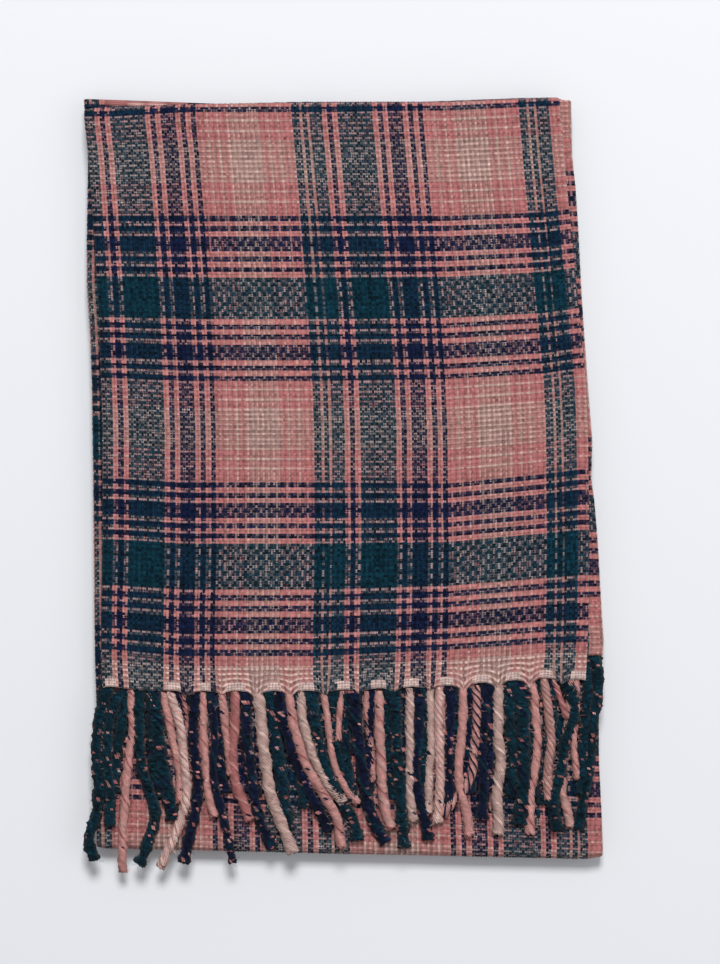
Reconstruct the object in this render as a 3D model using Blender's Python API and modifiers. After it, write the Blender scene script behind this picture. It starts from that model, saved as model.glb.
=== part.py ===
"""Blanket scarf, folded once along its length and then three times across, lying flat.

The cloth is one long woven panel with a fringe at each end. Folding it along its length
gives two plies, and the three cross folds stack them to eight. The plies are numbered
from the table up. Ply 7 is the end panel that lies on top, ply 6 is the half of it that
lies beneath, ply 5 is the next panel and plies 0 to 4 are the folds inside.

Origin: centre of the bounding box at table height. +X is across the scarf, away from
the lengthwise fold. +Y runs from the fringe towards the first cross fold. +Z is up.
"""

import math
from collections import namedtuple

import bpy

MM = 0.001

# Cloth
WALL = 2.2 * MM  # one ply of thick woven cloth
GAP = 0.3 * MM  # air between two plies that lie on each other
PLY_RISE = WALL + GAP
FOLD_OUTER = WALL + GAP / 2  # outer radius where two plies turn into each other
FOLD_MIDDLE = FOLD_OUTER - WALL / 2
TURN_OUTER = 2 * WALL + 1.5 * GAP  # outer radius where four plies turn together

# Plies, counted from the table
TOP_PLY = 7
UNDER_PLY = 6
BODY_PLY = 5
MIDDLE_PLY = 4  # turns with the body panel at the second cross fold
BOTTOM_PAIR = 2  # plies 0 and 1 are the hidden end, which stops short of the second fold
FIRST_TURN_Z = UNDER_PLY * PLY_RISE - GAP / 2  # axis of the cross fold of the top panel
SECOND_TURN_Z = MIDDLE_PLY * PLY_RISE - GAP / 2  # axis of the cross fold under the fringe
THIRD_TURN_Z = BOTTOM_PAIR * PLY_RISE - GAP / 2  # axis of the cross fold below the first

# Outlines in plan, in millimetres
Sides = namedtuple("Sides", "y left right")
End = namedtuple("End", "x y")

TOP_PANEL_SIDES = (
    Sides(-145, -166, 167),
    Sides(-116, -167, 168),
    Sides(-86, -167, 169),
    Sides(-41, -166, 169.5),
    Sides(38, -166, 168.5),
    Sides(72, -167, 167),
    Sides(125, -169, 162),
    Sides(186, -173, 156),
    Sides(227, -176, 152),
    Sides(263, -179.5, 149),
)
UNDER_PANEL_SIDES = (
    Sides(-128, -170, 178),
    Sides(-107, -170, 179.8),
    Sides(-70, -169, 177.1),
    Sides(-9, -168, 173),
    Sides(31, -168, 171.4),
    Sides(68, -169, 168.7),
    Sides(130, -171, 164.4),
    Sides(205, -175, 160.2),
    Sides(263, -179.5, 157.1),
)
BODY_SIDES = (
    Sides(-258, -170.5, 179),
    Sides(-216, -171, 177.7),
    Sides(-148, -171, 176.4),
    Sides(-106, -172.2, 176.5),
    Sides(4, -173, 170),
    Sides(69, -174, 166),
    Sides(138, -177.5, 161.5),
    Sides(205, -177.5, 158.5),
    Sides(240, -177.5, 157),
    Sides(263, -179.5, 156),
)
FIRST_TURN_EDGE = (
    End(-180, 259.6),
    End(-167, 261),
    End(-99, 262.7),
    End(-30, 264.6),
    End(56, 264.9),
    End(120, 267),
    End(150, 267.5),
    End(180, 267.5),
)
TOP_HEM = (
    End(-166, -140.6),
    End(-140, -142),
    End(-114, -144),
    End(-30, -143.4),
    End(25, -143.4),
    End(60, -141.6),
    End(97, -139.2),
    End(141, -134.4),
    End(167, -136.5),
)
UNDER_HEM = (
    End(-170, -126),
    End(0, -124),
    End(140, -121),
    End(178, -118),
)
SECOND_TURN_EDGE = (
    End(-172, -249.8),
    End(-164, -251),
    End(4, -254.8),
    End(168, -258.2),
    End(180, -256.5),
)

# Grid steps of a ply
Steps = namedtuple("Steps", "across along turn")
FOLD_STEPS = 3
TOP_STEPS = Steps(14, 18, 8)
UNDER_STEPS = Steps(10, 14, 6)
BODY_STEPS = Steps(10, 14, 8)
EDGE_PASSES = 2  # x and y follow each other along a slanting edge, so they're found in turns

# The folds inside
LIP_SLOT = 3 * MM  # depth of the slots between the cut edges
SEAM_SLOT = 0.6 * MM  # depth of the slots between two rolls
MIN_SLOT = 0.06 * MM
TURN_CLEAR = 1.2 * MM  # room round the edge of the body panel's roll
HIDDEN_END = 9 * MM  # how far the last panel stops short of the second cross fold
CORNER_X = 5 / 350  # round corner in plan, as a share of the folded width
CORNER_Y = 5 / 520  # and of the folded length
SIDE_STEPS = 9
CORNER_STEPS = 3
RISE_STEPS = 3
LIP_INSETS = (2.4 * MM, 0.8 * MM, 1.6 * MM, 0.4 * MM, 1.2 * MM)  # plies 0 to 4

# Fringe: the reach of the tassels, as a plain slab with one finger a group of tassels,
# in millimetres
Tip = namedtuple("Tip", "x y")
TOP_FRINGE_TIPS = (
    Tip(-169, -258),
    Tip(-151, -267.5),
    Tip(-137, -262),
    Tip(-123, -265),
    Tip(-105, -261),
    Tip(-77, -261),
    Tip(-48, -251),
    Tip(-33, -254),
    Tip(-2, -250),
    Tip(11, -245),
    Tip(30, -247),
    Tip(43, -250),
    Tip(59, -245),
    Tip(84, -242),
    Tip(106, -241),
    Tip(129, -241),
    Tip(148, -238),
    Tip(158, -236),
)
UNDER_FRINGE_TIPS = (
    Tip(-160, -234),
    Tip(-130, -222),
    Tip(-106, -212),
    Tip(-78, -205),
    Tip(-40, -238),
    Tip(0, -220),
    Tip(40, -222),
    Tip(80, -218),
    Tip(118, -204),
    Tip(148, -224),
    Tip(165, -238),
)
HEM_CLEAR = 0.8  # room between a hem and the slab of its fringe
TIP_HALF = 3.5
NOTCH_LIFT = 13
FRINGE_THICK = 3 * MM

# Colours of the cloth, linear RGB
ROSE = (0.51, 0.17, 0.14)
TEAL = (0.006, 0.042, 0.054)
GREIGE = (0.48, 0.32, 0.25)
NAVY = (0.009, 0.018, 0.052)
PINK = (0.56, 0.21, 0.19)
CLOTH_ROUGHNESS = 0.95


def along(table, at, column):
    """Value of a column at a place along the table's first column, on a smooth curve."""
    keys = [row[0] for row in table]
    values = [getattr(row, column) for row in table]
    if at <= keys[0]:
        return values[0]
    if at >= keys[-1]:
        return values[-1]
    i = max(k for k in range(len(keys) - 1) if keys[k] <= at)

    def slope(k):
        low = max(k - 1, 0)
        high = min(k + 1, len(keys) - 1)
        return (values[high] - values[low]) / (keys[high] - keys[low])

    span = keys[i + 1] - keys[i]
    t = (at - keys[i]) / span
    rest = 1 - t
    return (
        (1 + 2 * t) * rest * rest * values[i]
        + t * rest * rest * span * slope(i)
        + t * t * (3 - 2 * t) * values[i + 1]
        - t * t * rest * span * slope(i + 1)
    )


def edge_at(table, at, column):
    return along(table, at / MM, column) * MM


def material(name, colour):
    made = bpy.data.materials.new(name)
    made.use_nodes = True
    shader = made.node_tree.nodes["Principled BSDF"]
    shader.inputs["Base Color"].default_value = (*colour, 1)
    shader.inputs["Roughness"].default_value = CLOTH_ROUGHNESS
    return made


def add_object(name, data, colour, collection):
    data.materials.append(material(name + "_cloth", colour))
    made = bpy.data.objects.new(name, data)
    collection.objects.link(made)
    return made


def fold_columns(flat_steps):
    """Stations across a ply: distance from the fold's edge, share of the flat, and drop."""
    columns = [(FOLD_OUTER - FOLD_MIDDLE, 0, FOLD_MIDDLE - rise) for rise in (GAP / 2, GAP)]
    for step in range(1, FOLD_STEPS):
        angle = math.pi / 2 * step / FOLD_STEPS
        reach = FOLD_OUTER - FOLD_MIDDLE * math.cos(angle)
        columns.append((reach, 0, FOLD_MIDDLE * (1 - math.sin(angle))))
    for step in range(flat_steps + 1):
        columns.append((FOLD_OUTER, step / flat_steps, 0))
    return columns


def turn_rows(flat_steps, turn_steps):
    """Stations along a ply: share of the flat, and angle round the cross fold."""
    rows = [(step / flat_steps, 0) for step in range(flat_steps)]
    rows += [(1, math.pi * step / turn_steps) for step in range(turn_steps + 1)]
    return rows


def ply_sheet(name, sides, start, end, height, drop_sense, turn_z, steps, colour, collection):
    """A ply's middle surface with its half of the lengthwise fold and a cross fold, made
    solid to the cloth's thickness. start and end give y at an x, height is the ply's own
    above the axis of the cross fold, and the fold drops up or down from it by drop_sense."""
    columns = fold_columns(steps.across)
    rows = turn_rows(steps.along, steps.turn)
    towards = 1 if end(0) > start(0) else -1
    points = []
    for share_along, angle in rows:
        for reach, share_across, drop in columns:
            left = sides[0].left * MM
            right = sides[0].right * MM
            for _ in range(EDGE_PASSES):
                x = left + reach + share_across * (right - left - FOLD_OUTER)
                y = start(x) + share_along * (end(x) - start(x))
                left = edge_at(sides, y, "left")
                right = edge_at(sides, y, "right")
            radius = height + drop_sense * drop
            points.append((
                x,
                y + towards * radius * math.sin(angle),
                turn_z + radius * math.cos(angle),
            ))
    width = len(columns)
    faces = []
    for row in range(len(rows) - 1):
        for column in range(width - 1):
            corner = row * width + column
            face = (corner, corner + 1, corner + 1 + width, corner + width)
            faces.append(face if towards > 0 else face[::-1])
    mesh = bpy.data.meshes.new(name)
    mesh.from_pydata(points, [], faces)
    made = add_object(name, mesh, colour, collection)
    mesh.polygons.foreach_set("use_smooth", [True] * len(faces))
    solid = made.modifiers.new("ply_thickness", "SOLIDIFY")
    solid.thickness = WALL
    solid.offset = 0
    solid.use_even_offset = True
    return made


def roll_inset(z, centre, radius):
    """How far a round edge stands back at a height."""
    rise = min(abs(z - centre), radius)
    return radius - math.sqrt(radius * radius - rise * rise)


def fold_inset(z, ply):
    """Stand-back of the lengthwise folds: plies 0 and 1, 2 and 3, and 4 with the body's."""
    upper_of_pair = ply + 1 if ply % 2 == 0 else ply
    centre = upper_of_pair * PLY_RISE - GAP / 2
    return roll_inset(z, centre, FOLD_OUTER)


def first_edge_inset(z, ply):
    """Stand-back below the first cross fold: a roll of plies 0 to 3, and ply 4 behind it."""
    if ply == MIDDLE_PLY:
        return TURN_OUTER + TURN_CLEAR
    return roll_inset(z, THIRD_TURN_Z, TURN_OUTER)


def second_edge_inset(z, ply):
    """Stand-back inside the second cross fold."""
    if ply < BOTTOM_PAIR:
        return HIDDEN_END
    if ply == BOTTOM_PAIR:
        return TURN_OUTER + TURN_CLEAR
    return TURN_OUTER - FOLD_OUTER + TURN_CLEAR + roll_inset(z, SECOND_TURN_Z, FOLD_OUTER)


def rounded_square():
    """Unit square with round corners, as shares across and along, anticlockwise."""
    turns = ((1, 0, -90), (1, 1, 0), (0, 1, 90), (0, 0, 180))
    shares = []
    for index, (corner_x, corner_y, start) in enumerate(turns):
        centre_x = CORNER_X if corner_x == 0 else 1 - CORNER_X
        centre_y = CORNER_Y if corner_y == 0 else 1 - CORNER_Y
        for step in range(CORNER_STEPS + 1):
            angle = math.radians(start + 90 * step / CORNER_STEPS)
            shares.append((
                centre_x + CORNER_X * math.cos(angle),
                centre_y + CORNER_Y * math.sin(angle),
            ))
        here = shares[-1]
        next_x, next_y, _ = turns[(index + 1) % len(turns)]
        horizontal = next_y == corner_y
        for step in range(1, SIDE_STEPS):
            part = step / SIDE_STEPS
            if horizontal:
                far = CORNER_X if next_x == 0 else 1 - CORNER_X
                shares.append((here[0] + part * (far - here[0]), here[1]))
            else:
                far = CORNER_Y if next_y == 0 else 1 - CORNER_Y
                shares.append((here[0], here[1] + part * (far - here[1])))
    return shares


def fold_levels():
    """Heights of the rings of the inner solid, each with its ply and slot depths."""
    levels = []
    for ply in range(BODY_PLY):
        low = ply * PLY_RISE
        high = low + WALL
        for step in range(RISE_STEPS + 1):
            levels.append((low + (high - low) * step / RISE_STEPS, ply, 0, 0))
        if ply < BODY_PLY - 1:
            side = SEAM_SLOT if ply % 2 else MIN_SLOT
            levels.append((high, ply, side, LIP_SLOT))
            levels.append((high + GAP, ply + 1, side, LIP_SLOT))
    return levels


def inner_folds(collection):
    """Plies 0 to 4 as one solid: rolls at the folds and lips at the cut edges."""
    shares = rounded_square()
    points = []
    for z, ply, seam_slot, lip_slot in fold_levels():
        left_in = fold_inset(z, ply) + seam_slot
        right_in = LIP_INSETS[ply] + lip_slot
        far_in = first_edge_inset(z, ply) + seam_slot
        near_in = second_edge_inset(z, ply) + seam_slot
        for across, up in shares:
            x = (across - 0.5) * (BODY_SIDES[0].right - BODY_SIDES[0].left) * MM
            for _ in range(EDGE_PASSES):
                low = edge_at(SECOND_TURN_EDGE, x, "y") + near_in
                high = edge_at(FIRST_TURN_EDGE, x, "y") - far_in
                y = low + up * (high - low)
                left = edge_at(BODY_SIDES, y, "left") + left_in
                right = edge_at(BODY_SIDES, y, "right") - right_in
                x = left + across * (right - left)
            points.append((x, y, z))
    count = len(shares)
    rings = len(points) // count
    faces = [tuple(range(count))[::-1]]
    for ring in range(rings - 1):
        for step in range(count):
            here = ring * count + step
            beside = ring * count + (step + 1) % count
            faces.append((here, beside, beside + count, here + count))
    faces.append(tuple(range((rings - 1) * count, rings * count)))
    mesh = bpy.data.meshes.new("inner_folds")
    mesh.from_pydata(points, [], faces)
    return add_object("inner_folds", mesh, NAVY, collection)


def fringe_slab(name, hem, tips, bottom, thick, colour, collection):
    """The reach of a row of tassels: it starts at the hem and has one finger a tip."""
    first = hem[0].x
    last = hem[-1].x
    outline = []
    for row in reversed(hem):
        outline.append((row.x, row.y - HEM_CLEAR))
    corners = [(first, along(hem, first, "y") - NOTCH_LIFT)]
    for index, tip in enumerate(tips):
        corners.append((tip.x - TIP_HALF, tip.y))
        corners.append((tip.x + TIP_HALF, tip.y))
        if index + 1 < len(tips):
            following = tips[index + 1]
            notch = max(tip.y, following.y) + NOTCH_LIFT
            corners.append(((tip.x + following.x) / 2, notch))
    corners.append((last, along(hem, last, "y") - NOTCH_LIFT))
    outline += corners
    curve = bpy.data.curves.new(name, "CURVE")
    curve.dimensions = "2D"
    curve.fill_mode = "BOTH"
    curve.extrude = thick / 2
    spline = curve.splines.new("POLY")
    spline.points.add(len(outline) - 1)
    for point, (x, y) in zip(spline.points, outline):
        point.co = (x * MM, y * MM, 0, 1)
    spline.use_cyclic_u = True
    made = add_object(name, curve, colour, collection)
    made.location.z = bottom + thick / 2
    return made


def main():
    for old in list(bpy.data.objects):
        bpy.data.objects.remove(old, do_unlink=True)
    collection = bpy.data.collections.new("blanket_scarf")
    bpy.context.scene.collection.children.link(collection)

    middle = WALL / 2

    def first_axis(x):
        return edge_at(FIRST_TURN_EDGE, x, "y") - TURN_OUTER

    def second_axis(x):
        return edge_at(SECOND_TURN_EDGE, x, "y") + TURN_OUTER

    ply_sheet(
        "end_panel_upper", TOP_PANEL_SIDES,
        lambda x: edge_at(TOP_HEM, x, "y"), first_axis,
        TOP_PLY * PLY_RISE + middle - FIRST_TURN_Z, -1, FIRST_TURN_Z,
        TOP_STEPS, ROSE, collection,
    )
    ply_sheet(
        "end_panel_under", UNDER_PANEL_SIDES,
        lambda x: edge_at(UNDER_HEM, x, "y"), first_axis,
        UNDER_PLY * PLY_RISE + middle - FIRST_TURN_Z, 1, FIRST_TURN_Z,
        UNDER_STEPS, TEAL, collection,
    )
    ply_sheet(
        "body_panel", BODY_SIDES,
        lambda x: first_axis(x) - GAP, second_axis,
        BODY_PLY * PLY_RISE + middle - SECOND_TURN_Z, -1, SECOND_TURN_Z,
        BODY_STEPS, GREIGE, collection,
    )
    inner_folds(collection)
    fringe_slab(
        "fringe_end", TOP_HEM, TOP_FRINGE_TIPS,
        TOP_PLY * PLY_RISE, FRINGE_THICK, PINK, collection,
    )
    fringe_slab(
        "fringe_under", UNDER_HEM, UNDER_FRINGE_TIPS,
        UNDER_PLY * PLY_RISE, WALL, TEAL, collection,
    )


main()
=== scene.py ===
"""Blanket scarf in a coarse plain-woven check, folded into a flat stack of eight plies.

The yarns of the weave are laid out crossing by crossing from two short charts, and the
fringe is built as twisted cords of loose yarns that leave the hem.
"""

import math
from collections import namedtuple

import bpy
import numpy as np
from bpy.props import FloatProperty, FloatVectorProperty, IntProperty, PointerProperty
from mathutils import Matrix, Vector


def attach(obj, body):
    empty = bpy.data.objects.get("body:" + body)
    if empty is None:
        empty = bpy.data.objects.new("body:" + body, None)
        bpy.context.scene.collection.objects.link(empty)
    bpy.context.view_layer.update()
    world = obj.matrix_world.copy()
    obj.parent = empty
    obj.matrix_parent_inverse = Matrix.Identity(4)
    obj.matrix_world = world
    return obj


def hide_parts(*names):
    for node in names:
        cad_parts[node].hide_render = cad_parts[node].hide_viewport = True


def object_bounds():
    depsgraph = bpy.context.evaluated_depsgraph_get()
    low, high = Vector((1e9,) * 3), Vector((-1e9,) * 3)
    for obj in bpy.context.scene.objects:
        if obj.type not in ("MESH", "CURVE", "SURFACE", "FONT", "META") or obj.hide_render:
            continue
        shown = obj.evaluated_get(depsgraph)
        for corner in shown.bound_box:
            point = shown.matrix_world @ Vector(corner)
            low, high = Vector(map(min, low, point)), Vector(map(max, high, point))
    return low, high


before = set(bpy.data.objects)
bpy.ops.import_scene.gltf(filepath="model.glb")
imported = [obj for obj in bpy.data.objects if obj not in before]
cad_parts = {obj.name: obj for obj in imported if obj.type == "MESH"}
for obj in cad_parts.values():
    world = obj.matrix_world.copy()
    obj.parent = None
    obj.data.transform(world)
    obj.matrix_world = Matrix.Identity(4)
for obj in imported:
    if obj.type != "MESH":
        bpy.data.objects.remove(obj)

bl_info = {
    "name": "Folded Blanket Scarf",
    "version": (1, 0, 0),
    "blender": (4, 5, 0),
    "location": "View3D > Sidebar > Scarf",
    "description": "Builds a folded plaid blanket scarf with its fringe, crossing by crossing",
    "category": "Add Mesh",
}

CAD_BOX = [list(corner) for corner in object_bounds()]
MM = 0.001

# Heights of the plies, in millimetres, as in the solids they stand for
WALL = 2.2
GAP = 0.3
PLY_RISE = WALL + GAP
FOLD_RADIUS = WALL + GAP / 2
TURN_RADIUS = 2 * WALL + 1.5 * GAP
EDGE_RADIUS = WALL / 2
TABLE_CLEAR = 0.05

# Outlines in plan, in millimetres
Sides = namedtuple("Sides", "y left right")
End = namedtuple("End", "x y")

TOP_SIDES = (
    Sides(-145, -166, 166.5),
    Sides(-116, -167, 168),
    Sides(-86, -167, 169),
    Sides(-41, -166, 169.5),
    Sides(38, -166, 168.5),
    Sides(72, -167, 167),
    Sides(125, -169, 162),
    Sides(186, -173, 156),
    Sides(227, -176, 152),
    Sides(250, -178.6, 150.2),
    Sides(263, -179.2, 149),
)
UNDER_SIDES = (
    Sides(-128, -170, 176),
    Sides(-118, -170, 178.6),
    Sides(-107, -170, 179.6),
    Sides(-94, -170, 178.6),
    Sides(-70, -169, 177.1),
    Sides(-40, -169, 175.5),
    Sides(-9, -168, 172.9),
    Sides(5, -168, 170.9),
    Sides(31, -168, 171.6),
    Sides(68, -169, 168.7),
    Sides(130, -171, 164.4),
    Sides(172, -173, 162.3),
    Sides(205, -175, 160.2),
    Sides(228, -177, 157.6),
    Sides(263, -179.5, 157.1),
)
BODY_SIDES = (
    Sides(-258, -170.2, 178.6),
    Sides(-250, -170.9, 179.1),
    Sides(-216, -171, 177.7),
    Sides(-189, -171, 176.4),
    Sides(-148, -171, 176.4),
    Sides(-121, -172, 177.4),
    Sides(-106, -172.2, 176.5),
    Sides(-51, -172.6, 173),
    Sides(4, -173, 169.5),
    Sides(69, -174, 166),
    Sides(107, -175.3, 163),
    Sides(138, -177.5, 161.5),
    Sides(170, -177.5, 160),
    Sides(220, -176.7, 157.5),
    Sides(240, -177.1, 156.5),
    Sides(263, -179.5, 155.5),
)
FIRST_TURN = (
    End(-180, 259.6),
    End(-167, 261),
    End(-99, 262.7),
    End(-30, 264.6),
    End(56, 264.6),
    End(120, 267),
    End(147, 267.5),
    End(152, 265.6),
    End(180, 265),
)
SECOND_TURN = (
    End(-172, -249.8),
    End(-164, -251),
    End(4, -254.8),
    End(168, -258.2),
    End(180, -256.5),
)

Row = namedtuple("Row", "pick y")
TOP_ROWS = (
    Row(-12, 278.1),
    Row(0, 257.1),
    Row(41, 185.4),
    Row(65, 143.4),
    Row(82, 114.5),
    Row(106, 71.9),
    Row(147, 2.1),
    Row(171, -40.0),
    Row(188, -71.6),
    Row(212, -117.0),
    Row(220, -130.0),
    Row(227, -142.0),
)
Bow = namedtuple("Bow", "pick far_left left middle inner right far_right")
BOW_X = (-157, -110, -20, 71, 137, 163)
TOP_BOW = (
    Bow(0, -3, 0, 0, 0.9, 4, 4.5),
    Bow(41, 0, 0, 0, 0, 2.4, 5.7),
    Bow(106, 2, 0, 0, 1.2, 5.3, 9),
    Bow(147, 2.7, 0, 0, -0.6, 5.6, 8.9),
    Bow(188, 3, 0, 0, 2.5, 7.8, 9.9),
    Bow(212, 4.3, 0, 0, 4, 8.7, 9.4),
    Bow(227, 1.6, -1.4, -0.9, 2.6, 8, 6.5),
)
UNDER_ROWS = (
    Row(0, 288.6),
    Row(41, 216.9),
    Row(65, 175.0),
    Row(82, 142.7),
    Row(106, 99.4),
    Row(147, 33.3),
    Row(171, -6.5),
    Row(188, -32.0),
    Row(212, -76.7),
    Row(235, -118.0),
)
BODY_ROWS = (
    Row(0, -72),
    Row(41, 0),
    Row(65, 42.6),
    Row(106, 119.5),
    Row(147, 191),
    Row(212, 306),
    Row(253, 378),
    Row(330, 514),
)
BODY_ROW_SLOPE = (End(-175, -215.6), End(-143, -216.7), End(94, -225.7), End(170, -229.3))
PICK = 1.75  # distance between picks, and between ends
YARN_CODES = "RPGKNTBC"

# Charts: R rose, P pale, G greige, K pink, N navy, T teal, B blush, C cream
WARP_SQUARE = "RRRRPRRRPRRR" + "PG" * 6 + "P" + "RRRPRRRPRRRRR"
WARP_BAR = "TTTGTTGTTTTT"
WARP_CHART = WARP_SQUARE + WARP_BAR + "KKNNKK" + "T" * 14 + "KKNNKK" + "N" * 6 + "KKNNKKNN"
WEFT_CHART = (
    "RRRPRRRPRRR" + "PG" * 8 + "P" + "RRRPRRRPRRRRR"
    + "NNKKNNKK" + "N" * 6 + "KKNNKKNNKK" + "T" * 17 + "KKNNKKNNKK" + "N" * 6 + "KKNNKKNN"
)
TOP_ENDS = 190
UNDER_ENDS = 193
FOLD_END = 45  # chart place of the warp at the lengthwise fold
TOP_BORDER = "RRRRP"
UNDER_BORDER = "RRRRRP"
HEM_PICK = 227
HEM_BAND = "RRRRP" + "CG" * 5
HEM_BAND_START = 212
UNDER_HEM_PICK = 235

# Soft creases: from x, y to x, y, half width and height, in millimetres
Crease = namedtuple("Crease", "x0 y0 x1 y1 half rise")
CREASES = (
    Crease(-150, 150, 40, 168, 16, 0.9),
    Crease(-120, 118, 20, 128, 11, -0.7),
    Crease(30, 215, 150, 190, 14, 0.8),
    Crease(-160, 30, -60, 12, 13, -0.8),
    Crease(-30, 52, 120, 30, 19, 0.9),
    Crease(60, -20, 165, -52, 12, -0.8),
    Crease(-140, -62, -20, -50, 15, 0.8),
    Crease(20, -92, 150, -80, 10, 0.7),
    Crease(-100, -112, 0, -118, 9, -0.5),
    Crease(110, 150, 150, 60, 9, -0.7),
    Crease(-166, 190, -160, 20, 6, 0.5),
    Crease(168, 60, 172, -110, 5, 0.8),
    Crease(-90, 226, 60, 236, 9, -0.6),
    Crease(-10, -20, 12, -120, 12, 0.5),
)

# The hem of the top panel, in millimetres: bare picks in arches, and funnels between them
Arch = namedtuple("Arch", "x half")
Funnel = namedtuple("Funnel", "x reach draw drop")
ARCHES = (
    Arch(-160.6, 4.2), Arch(-117.9, 5), Arch(-95.6, 4.2), Arch(-73.9, 6.8), Arch(-47.8, 5.2),
    Arch(-25.1, 5.4), Arch(-0.3, 4.8), Arch(23.7, 4.6), Arch(46.4, 5.2), Arch(70.1, 4.4),
    Arch(95.2, 5.6), Arch(117.2, 4.8), Arch(139.9, 4.2), Arch(161.6, 5.4),
)
FUNNELS = (
    Funnel(-139.9, 15, 0.12, 0.6), Funnel(-108, 5.6, 0.5, 3.4), Funnel(-83.5, 5.2, 0.5, 3),
    Funnel(-60.2, 8, 0.72, 8), Funnel(-36.8, 7, 0.7, 7.5), Funnel(-12.7, 6.6, 0.6, 3.4),
    Funnel(10.5, 6, 0.55, 3), Funnel(34.7, 7, 0.45, 2.4), Funnel(59.5, 6, 0.55, 3.2),
    Funnel(82.9, 8, 0.74, 8.5), Funnel(106.2, 7.6, 0.72, 8.5), Funnel(128.2, 7.4, 0.72, 8),
    Funnel(150.2, 6.4, 0.5, 3),
)
FUNNEL_PICK = 216
ARCH_PICKS = 4

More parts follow.
